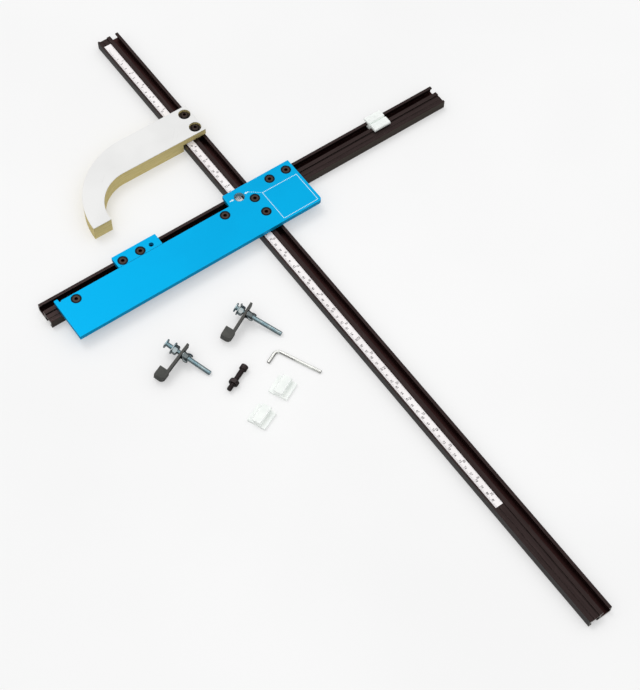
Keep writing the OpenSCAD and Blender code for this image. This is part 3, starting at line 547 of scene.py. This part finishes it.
def grid_faces(rows, columns, close_rows=False):
    """Quads of a grid of rows by columns: each row joins end to end, and the last row the first where rows close."""
    row = np.arange(rows if close_rows else rows - 1)[:, None]
    column = np.arange(columns)[None, :]
    next_row, next_column = (row + 1) % rows, (column + 1) % columns
    quads = np.stack([row * columns + column, row * columns + next_column,
                      next_row * columns + next_column, next_row * columns + column], -1)
    return quads.reshape(-1, 4)


def seal(piece):
    """Merges doubles, so that seams and poles close, and turns every face outwards."""
    work = bmesh.new()
    work.from_mesh(piece.data)
    bmesh.ops.remove_doubles(work, verts=work.verts, dist=WELD)
    bmesh.ops.dissolve_degenerate(work, edges=work.edges, dist=WELD)
    bmesh.ops.recalc_face_normals(work, faces=work.faces)
    work.to_mesh(piece.data)
    work.free()
    return piece


def ease(piece, width, segments):
    """Rounds the edges that turn more than a limit with a Bevel modifier."""
    bevel = piece.modifiers.new("eased edges", "BEVEL")
    bevel.width, bevel.segments = width * MM, segments
    bevel.limit_method, bevel.angle_limit = "ANGLE", math.radians(EASE_LIMIT)
    bevel.use_clamp_overlap, bevel.harden_normals = True, True
    bevel.miter_outer = "MITER_SHARP"


def eased_copy(node, width, material, end_axis=None, end_material=None, segments=2):
    """A node's mesh with doubles merged and flat faces rejoined, eased, standing for the node on its body.

    Faces that look along end_axis take end_material.
    """
    source = frame["nodes"][node]
    work = bmesh.new()
    work.from_mesh(source.data)
    bmesh.ops.remove_doubles(work, verts=work.verts, dist=CAD_WELD)
    nearly_flat = math.radians(0.6)
    bmesh.ops.dissolve_limit(work, angle_limit=nearly_flat, verts=work.verts, edges=work.edges)
    bmesh.ops.recalc_face_normals(work, faces=work.faces)
    # The normals kept with the loose triangles no longer fit the rejoined faces
    mesh = bpy.data.meshes.new(node + "_eased")
    for layer in list(work.loops.layers.float_vector.values()):
        work.loops.layers.float_vector.remove(layer)
    work.to_mesh(mesh)
    work.free()
    for name in [layer.name for layer in mesh.attributes if "normal" in layer.name]:
        mesh.attributes.remove(mesh.attributes[name])
    mesh.materials.clear()
    mesh.materials.append(material)
    count = len(mesh.polygons)
    mesh.polygons.foreach_set("use_smooth", np.full(count, True))
    slots = np.zeros(count, np.int32)
    if end_axis is not None:
        mesh.materials.append(end_material)
        normals = np.zeros(count * 3, np.float32)
        mesh.polygons.foreach_get("normal", normals)
        slots[np.abs(normals.reshape(-1, 3)[:, end_axis]) > 0.95] = 1
    mesh.polygons.foreach_set("material_index", slots)
    mesh.update()
    piece = bpy.data.objects.new(node + "_eased", mesh)
    bpy.context.scene.collection.objects.link(piece)
    ease(piece, width, segments)
    return stand_for(piece, node)


def stand_for(piece, node):
    """Puts the piece on the node's body, in place of the node."""
    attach(piece, BODY_OF[node])
    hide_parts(node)
    return piece


def paint(node, material):
    """Gives a CAD node its finish in its material slots."""
    mesh = frame["nodes"][node].data
    mesh.materials.clear()
    mesh.materials.append(material)


# ---- threads, nuts and heads


def spun(profile, columns):
    """Points of a profile of radius and height carried round the Z axis, one row for each point of it."""
    angle = np.linspace(0, TAU, columns, endpoint=False)
    radius, height = profile[:, :1], profile[:, 1:]
    return np.stack([radius * np.cos(angle), radius * np.sin(angle), height + 0 * angle], -1).reshape(-1, 3)


def thread_rows(low, high, columns, rows_a_pitch):
    """Thread from low to high: radius less depth times a triangle wave of height over pitch less angle over a turn.

    The wave's crests and roots are cut flat. Near the high end the radius stays under a line that rises one for one
    from the root, which leaves a chamfered tip.
    """
    rows = int((high - low) / THREAD_PITCH * rows_a_pitch) + 1
    height = np.linspace(low, high, rows)[:, None]
    angle = np.linspace(0, TAU, columns, endpoint=False)[None, :]
    phase = (height / THREAD_PITCH - angle / TAU) % 1
    wave = np.clip(np.abs(2 * phase - 1) * 1.25 - 0.1, 0, 1)
    tip_radius = SCREW_R - 1.15 * THREAD_DEPTH
    reach = np.minimum(SCREW_R - THREAD_DEPTH * wave, tip_radius + (high - height))
    return np.stack([reach * np.cos(angle), reach * np.sin(angle), height + 0 * angle], -1).reshape(-1, 3)


def closed_rows(point_sets, columns):
    """Stacks sets of rows and closes both ends with a point on the axis."""
    points = np.concatenate(point_sets)
    first, last = points[:columns].mean(0), points[-columns:].mean(0)
    return np.concatenate([np.tile(first, (columns, 1)), points, np.tile(last, (columns, 1))])


def turned(points, matrix):
    """Points moved by a 4 by 4 matrix."""
    matrix = np.array(matrix)
    return points @ matrix[:3, :3].T + matrix[:3, 3]


def along_bolt(x, y, z, turn, tilt=0.0, roll=0.0):
    """Matrix that takes the Z axis to a line through a point, tilted down, turned about Z and rolled about itself."""
    return (Matrix.Translation((x, y, z)) @ Matrix.Rotation(math.radians(turn), 4, "Z")
            @ Matrix.Rotation(math.radians(tilt), 4, "Y") @ Matrix.Rotation(math.radians(roll), 4, "X")
            @ Matrix.Rotation(math.radians(90), 4, "Y"))


def clamp_bolt(node, place_on, material):
    """Bolt: a low domed round head, then a thread to its chamfered tip.

    The dome's height falls from its middle by the cube of the sine that its radius grows with.
    """
    columns = 40
    head_r, head_t, length = 6.2, 2.0, 63.0
    swell = np.sin(np.linspace(0, math.pi / 2, 7))[1:]
    dome = np.stack([0.97 * head_r * swell, 0.45 * swell ** 3], 1)
    rim = np.array([[head_r - 0.08, 0.55], [head_r, 0.72], [head_r, head_t - 0.3], [head_r - 0.3, head_t],
                    [SCREW_R - 0.1, head_t]])
    rows = [spun(np.concatenate([dome, rim]), columns), thread_rows(head_t + 0.05, head_t + length, columns, 8)]
    points = turned(closed_rows(rows, columns), place_on)
    piece = put_mesh(node + "_threaded", points, grid_faces(len(points) // columns, columns), material)
    return stand_for(seal(piece), node)


def knurled_head(radius, height, columns):
    """Rows of a cap head: its side's radius ripples by a cosine of the angle, more in the middle than at its edges."""
    ripples, ripple_depth = columns // 4, 0.16
    angle = np.linspace(0, TAU, columns, endpoint=False)[None, :]
    step = np.array([[0.0, 0.4, 0.0], [0.25, 0.12, 0.0], [0.55, 0.0, 0.0], [0.9, 0.0, 1.0], [height - 0.9, 0.0, 1.0],
                     [height - 0.55, 0.0, 0.0], [height - 0.1, 0.0, 0.0], [height, 0.12, 0.0]])
    rise, inset, cut = step[:, :1], step[:, 1:2], step[:, 2:]
    reach = radius - inset - cut * ripple_depth * (1 + np.cos(ripples * angle))
    return np.stack([reach * np.cos(angle), reach * np.sin(angle), rise + 0 * angle], -1).reshape(-1, 3)


def hex_ring(across, height, columns, shrink=1.0):
    """One row round a hexagon: the half width over the cosine of the angle from the nearest flat's middle."""
    angle = np.linspace(0, TAU, columns, endpoint=False)
    reach = shrink * across / 2 / np.cos((angle + math.pi / 6) % (math.pi / 3) - math.pi / 6)
    return np.stack([reach * np.cos(angle), reach * np.sin(angle), np.full(columns, height)], -1)


def stop_screw(node, material):
    """Cap screw: hex socket, knurled head and thread as one closed surface of rows."""
    columns = 96
    cap_r, cap_h, length, plain = 4.75, 6.35, 31.75, 9.5
    socket_w, socket_deep, lead_w, lead_deep = 4.76, 3.2, 5.3, 0.25
    socket = [hex_ring(socket_w, socket_deep, columns, 0.2), hex_ring(socket_w, socket_deep, columns),
              hex_ring(socket_w, lead_deep, columns), hex_ring(lead_w, 0.0, columns)]
    neck = spun(np.array([[cap_r - 0.5, cap_h], [SCREW_R, cap_h + 0.02], [SCREW_R, cap_h + plain]]), columns)
    rows = [*socket, knurled_head(cap_r, cap_h, columns), neck,
            thread_rows(cap_h + plain + 0.1, cap_h + length, columns, 6)]
    points = turned(closed_rows(rows, columns), along_bolt(*STOP_SCREW_AT, STOP_SCREW_TURN))
    piece = put_mesh(node + "_threaded", points, grid_faces(len(points) // columns, columns), material)
    return stand_for(seal(piece), node)


def smooth_loop(corners, count):
    """Closed curve through the corners: each span is the cubic whose slopes are half the neighbours' distance."""
    corners = np.asarray(corners, float)
    along = np.linspace(0, len(corners), count, endpoint=False)
    index = along.astype(int)
    share = (along - index)[:, None]
    before, here, after, beyond = (corners[(index + k) % len(corners)] for k in (-1, 0, 1, 2))
    return 0.5 * (2 * here + (after - before) * share + (2 * before - 5 * here + 4 * after - beyond) * share ** 2
                  + (3 * here - before - 3 * after + beyond) * share ** 3)


def wing_nut(node, place_on, seat, material):
    """Wing nut: a coned hub with a bore, and two wings that are pillows inside a smooth outline.

    A wing's thickness falls as the square root of one less the sixth power of the share of the way to its outline.
    """
    columns, rings, half_t, pole = 48, 9, 1.2, 0.02
    hub = np.array([[3.25, 0.0], [5.3, 0.0], [5.5, 0.25], [5.0, 2.2], [4.55, 5.0], [4.35, 7.1], [4.0, 7.5], [3.3, 7.5]])
    hub_points = spun(hub, columns)
    hub_faces = grid_faces(len(hub), columns, close_rows=True)
    outline = smooth_loop([[2.6, 1.0], [5.0, 0.9], [6.8, 2.2], [8.8, 4.1], [10.2, 6.2], [10.4, 8.3], [9.4, 10.3],
                           [7.4, 10.8], [5.7, 9.6], [4.7, 7.7], [3.9, 6.6], [2.6, 6.3]], columns)
    middle = np.array([6.2, 5.8])
    share = np.sin(np.concatenate([np.linspace(pole, math.pi / 2, rings), np.linspace(math.pi / 2, pole, rings)[1:]]))
    side = np.concatenate([np.ones(rings), -np.ones(rings - 1)])
    plan = middle + share[:, None, None] * (outline - middle)
    thick = np.broadcast_to((side * half_t * np.sqrt(np.clip(1 - share ** 6, 0, 1)))[:, None], plan.shape[:2])
    wing = np.stack([plan[..., 0], thick, plan[..., 1]], -1).reshape(-1, 3)
    wing_faces = grid_faces(len(share), columns)
    points, faces = [hub_points], [hub_faces]
    for sign in (1, -1):
        faces.append(wing_faces + sum(len(p) for p in points))
        points.append(wing * np.array([sign, sign, 1]))
    points = turned(np.concatenate(points), place_on
                    @ Matrix.Translation((0, 0, seat)) @ Matrix.Rotation(math.radians(90), 4, "Z"))
    piece = put_mesh(node + "_cast", points, np.concatenate(faces), material)
    cap_poles(piece)
    return stand_for(seal(piece), node)


def cap_poles(piece):
    """Fills the small holes that pillows leave at the middles of their two sides."""
    work = bmesh.new()
    work.from_mesh(piece.data)
    bmesh.ops.holes_fill(work, edges=[e for e in work.edges if e.is_boundary], sides=0)
    work.to_mesh(piece.data)
    work.free()


# ---- print on the tape and the plate


def flat_quads(centres, sizes, turns, height):
    """Four corners for each flat oblong, from its centre, its length and width, and its turn."""
    corner = np.array([[-0.5, -0.5], [0.5, -0.5], [0.5, 0.5], [-0.5, 0.5]])
    local = corner[None] * np.asarray(sizes, float)[:, None]
    cos, sin = np.cos(turns)[:, None], np.sin(turns)[:, None]
    x = local[..., 0] * cos - local[..., 1] * sin
    y = local[..., 0] * sin + local[..., 1] * cos
    plan = np.stack([x, y], -1) + np.asarray(centres, float)[:, None]
    return np.concatenate([plan, np.full((*plan.shape[:2], 1), height)], -1).reshape(-1, 3)


def digit_shapes():
    """Points, triangles and width of each digit, one unit high, with its left foot at the origin."""
    shapes = {}
    for digit in "0123456789":
        curve = bpy.data.curves.new("digit", "FONT")
        curve.body, curve.size, curve.resolution_u, curve.offset = digit, 1.0, 2, 0.022
        letter = bpy.data.objects.new("digit", curve)
        bpy.context.scene.collection.objects.link(letter)
        bpy.context.view_layer.update()
        mesh = bpy.data.meshes.new_from_object(letter.evaluated_get(bpy.context.evaluated_depsgraph_get()))
        mesh.calc_loop_triangles()
        points = np.zeros(len(mesh.vertices) * 3, np.float32)
        mesh.vertices.foreach_get("co", points)
        triangles = np.zeros(len(mesh.loop_triangles) * 3, np.int32)
        mesh.loop_triangles.foreach_get("vertices", triangles)
        points = points.reshape(-1, 3)[:, :2].astype(float)
        points -= points.min(0)
        points /= points[:, 1].max()
        shapes[digit] = points, triangles.reshape(-1, 3), points[:, 0].max()
        bpy.data.objects.remove(letter)
        bpy.data.meshes.remove(mesh)
        bpy.data.curves.remove(curve)
    return shapes


def quad_triangles(count):
    """Two triangles for each of a number of quads whose corners follow one another."""
    quads = np.arange(4 * count).reshape(-1, 4)
    return [quads[:, [0, 1, 2]], quads[:, [0, 2, 3]]]


def tape_ticks():
    """Centres and sizes of the tape's ticks: millimetres on its left edge, sixteenths of an inch on its right.

    A tick's length and width go by its number: those of whole centimetres and inches are the longest and boldest.
    """
    ticks, sizes = [], []
    reaches = {0: 3.0, 5: 2.1}
    for k in range(-10, 821):
        reach = reaches.get(k % 10, 1.3)
        ticks.append([TAPE_LEFT + TICK_INSET + reach / 2, CENTIMETRE_ZERO - k])
        sizes.append([reach, 0.16 if k % 10 else 0.22])
    reaches = {0: 3.2, 8: 2.4, 4: 1.8, 12: 1.8}
    for k in range(-5, 521):
        reach = reaches.get(k % 16, 1.3 if k % 2 == 0 else 0.9)
        ticks.append([TAPE_RIGHT - TICK_INSET - reach / 2, INCH_ZERO - INCH * k / 16])
        sizes.append([reach, 0.18 if k % 16 else 0.26])
    ticks, sizes = np.array(ticks), np.array(sizes)
    inside = (ticks[:, 1] < TAPE_FAR - TICK_END_GAP) & (ticks[:, 1] > TAPE_FAR - TAPE_L)
    return ticks[inside], sizes[inside]


def tape_print(material):
    """Numbers and tick marks in inches on the slot side of the tape, and in centimetres on the other side."""
    height = TAPE_TOP + PRINT_RISE
    ticks, sizes = tape_ticks()
    points, faces = [flat_quads(ticks, sizes, np.zeros(len(ticks)), height)], quad_triangles(len(ticks))
    shapes = digit_shapes()
    marks = [(str(k), CENTIMETRE_ZERO - 10 * k, *CENTIMETRE_DIGITS) for k in range(1, 82)]
    marks += [(str(k), INCH_ZERO - INCH * k, *INCH_DIGITS) for k in range(1, 33)]
    for text, y, x, tall in marks:
        widths = [shapes[digit][2] * tall for digit in text]
        start = -(sum(widths) + DIGIT_GAP * (len(text) - 1)) / 2
        for digit, width in zip(text, widths):
            shape, triangles, _ = shapes[digit]
            plan = shape * tall + [start, -tall / 2]
            start += width + DIGIT_GAP
            faces.append(triangles + sum(len(part) for part in points))
            points.append(np.stack([x + plan[:, 1], y - plan[:, 0], np.full(len(plan), height)], 1))
    piece = put_mesh("tape_print", np.concatenate(points), np.concatenate(faces), material, smooth=False)
    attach(piece, "scale_bar")
    return piece


def dashes(start, end, dash, gap):
    """Centres, lengths and turn of dashes laid from a start to an end."""
    start, end = np.array(start, float), np.array(end, float)
    span = np.linalg.norm(end - start)
    count = int((span + gap) // (dash + gap))
    step = (np.arange(count) * (dash + gap) + dash / 2 + (span - count * (dash + gap) + gap) / 2)[:, None]
    return start + (end - start) / span * step, math.atan2(*(end - start)[::-1])


def plate_marks(material):
    """Generic marks on the plate: two arrows at the sight window, a dotted leader and a dashed frame."""
    height = PLATE_TOP + PRINT_RISE
    corners = [[20.0, -5.6], [72.0, -6.0], [71.8, -53.8], [19.8, -53.8]]
    # Start, end, dash, gap and width of each row of dashes
    rows = [(corners[k], corners[(k + 1) % 4], 1.4, 0.8, 0.9) for k in range(4)]
    rows.append(([6.6, 5.2], [19.4, -4.8], 0.8, 1.5, 0.8))
    centres, sizes, turns = [], [], []
    for start, end, dash, gap, wide in rows:
        middles, turn = dashes(start, end, dash, gap)
        centres.append(middles)
        sizes.append(np.tile([dash, wide], (len(middles), 1)))
        turns.append(np.full(len(middles), turn))
    all_points = [flat_quads(np.concatenate(centres), np.concatenate(sizes), np.concatenate(turns), height)]
    faces = quad_triangles(len(all_points[0]) // 4)
    arrow = np.array([[3.1, 0.0], [0.2, 1.6], [0.2, 0.6], [-3.1, 0.6], [-3.1, -0.6], [0.2, -0.6], [0.2, -1.6]])
    fans = np.array([[0, 1, 2], [0, 2, 5], [0, 5, 6], [2, 3, 4], [2, 4, 5]])
    for middle, sign in (([-18.7, 6.1], 1), ([3.3, 6.0], -1)):
        plan = arrow * sign + middle
        faces.append(fans + sum(len(part) for part in all_points))
        all_points.append(np.column_stack([plan, np.full(len(plan), height)]))
    piece = put_mesh("plate_marks", np.concatenate(all_points), np.concatenate(faces), material, smooth=False)
    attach(piece, "frame")
    return piece


# ---- the jig


def dress_rails():
    """Rails and scale bar with eased lips and bare sawn ends, and the tape with its print."""
    # Axis, grain stretch, across axis, and the painted light of the side walls, for each way an extrusion runs
    along_x = 0, (0.015, 1.0, 1.0), (0.0, 1.0, 0.0), srgb(93, 85, 78)
    along_y = 1, (1.0, 0.015, 1.0), (1.0, 0.0, 0.0), srgb(100, 97, 96)
    for node, (axis, *look) in (("left_rail", along_x), ("right_rail", along_x), ("scale_bar", along_y)):
        skin = anodised_black(node + "_dye", *look)
        ends = bare_aluminium(node + "_ends")
        eased_copy(node, 0.25, skin, axis, ends)
    paint("scale_tape", printed_vinyl())
    tape_print(ink("grey_ink", srgb(92, 85, 88), srgb(58, 52, 55)))


def dress_plates(blue):
    """Base plate and stop plate with eased edges, and the marks on the base plate."""
    eased_copy("base_plate", 0.35, blue)
    eased_copy("stop_plate", 0.35, blue)
    plate_marks(ink("white_ink", srgb(206, 243, 250), srgb(232, 252, 255)))


def dress_arm():
    """Curved arm: tan core with white laminate on it."""
    eased_copy("arm_board", 0.3, board_core())
    eased_copy("arm_top_facing", 0.25, white_laminate())


def dress_screws(oxide, zinc):
    """Flat-head and button-head screws, with painted shade in each socket and a painted shadow round each head's rim,
    and the washers, nuts and T-nuts that they hold.
    """
    for node in ("left_rail_screws", "bar_lock_screw_1", "bar_lock_screw_2", "rail_lock_screw_1",
                 "rail_lock_screw_2", "stop_lock_screw_1", "stop_lock_screw_2", "arm_screw_1", "arm_screw_2"):
        # Each screw's material paints shade in its sockets and a shadow round its heads' rims
        eased_copy(node, 0.15, black_oxide("blackened_" + node, head_centres(node)))
    eased_copy("arm_washers", 0.2, oxide)
    eased_copy("left_rail_nuts", 0.2, oxide)
    for node in ("bar_t_nuts", "rail_t_nuts", "stop_t_nuts", "arm_t_nuts"):
        eased_copy(node, 0.3, zinc)


def dress_clamps(zinc):
    """Two table clamps: threaded bolt, washer, nut, strap, rubber foot and wing nut."""
    steel, rubber = strap_steel(), moulded_rubber()
    blue_zinc = zinc_plate("blue_zinc_plated_steel", srgb(172, 199, 207), srgb(210, 222, 223))
    dull_zinc = zinc_plate("dull_zinc_plated_steel", srgb(104, 110, 110), srgb(146, 150, 148))
    # Place and turn of each bolt's head, its strap's place along it, and the roll of its wing nut
    clamps = {"clamp_1": (-200.0, -121.0, -67.6, 23.2, -31.0), "clamp_2": (-103.5, -126.4, -63.5, 14.7, -35.0)}
    for name, (x, y, turn, strap_x, wing_turn) in clamps.items():
        line = x, y, CLAMP_AXIS_Z, turn, CLAMP_TILT
        clamp_bolt(name + "_bolt", along_bolt(*line), blue_zinc)
        eased_copy(name + "_washer", 0.2, zinc)
        eased_copy(name + "_nut", 0.2, zinc)
        eased_copy(name + "_strap", 0.35, steel)
        eased_copy(name + "_foot", 0.5, rubber, segments=3)
        wing_nut(name + "_wing_nut", along_bolt(*line, wing_turn), strap_x + WING_SEAT, dull_zinc)


def dress_loose_pieces():
    """Pads, hex key, stop screw and its nut."""
    milky = translucent_plastic()
    for node in ("support_pad", "spare_pad_1", "spare_pad_2"):
        eased_copy(node, 0.3, milky)
    eased_copy("hex_key", 0.25, bright_nickel())
    dark = dark_cap_steel()
    stop_screw("stop_screw", dark)
    eased_copy("stop_nut", 0.2, dark)


def dress_jig():
    """Every piece of the jig."""
    oxide = black_oxide("blackened_steel")
    zinc = zinc_plate("zinc_plated_steel", srgb(170, 188, 193), srgb(206, 210, 207))
    dress_rails()
    dress_plates(anodised_blue())
    dress_arm()
    dress_screws(oxide, zinc)
    dress_clamps(zinc)
    dress_loose_pieces()


aim_camera()
light_studio()
lay_floor()
dress_jig()
bpy.context.scene.view_settings.view_transform = "Standard"
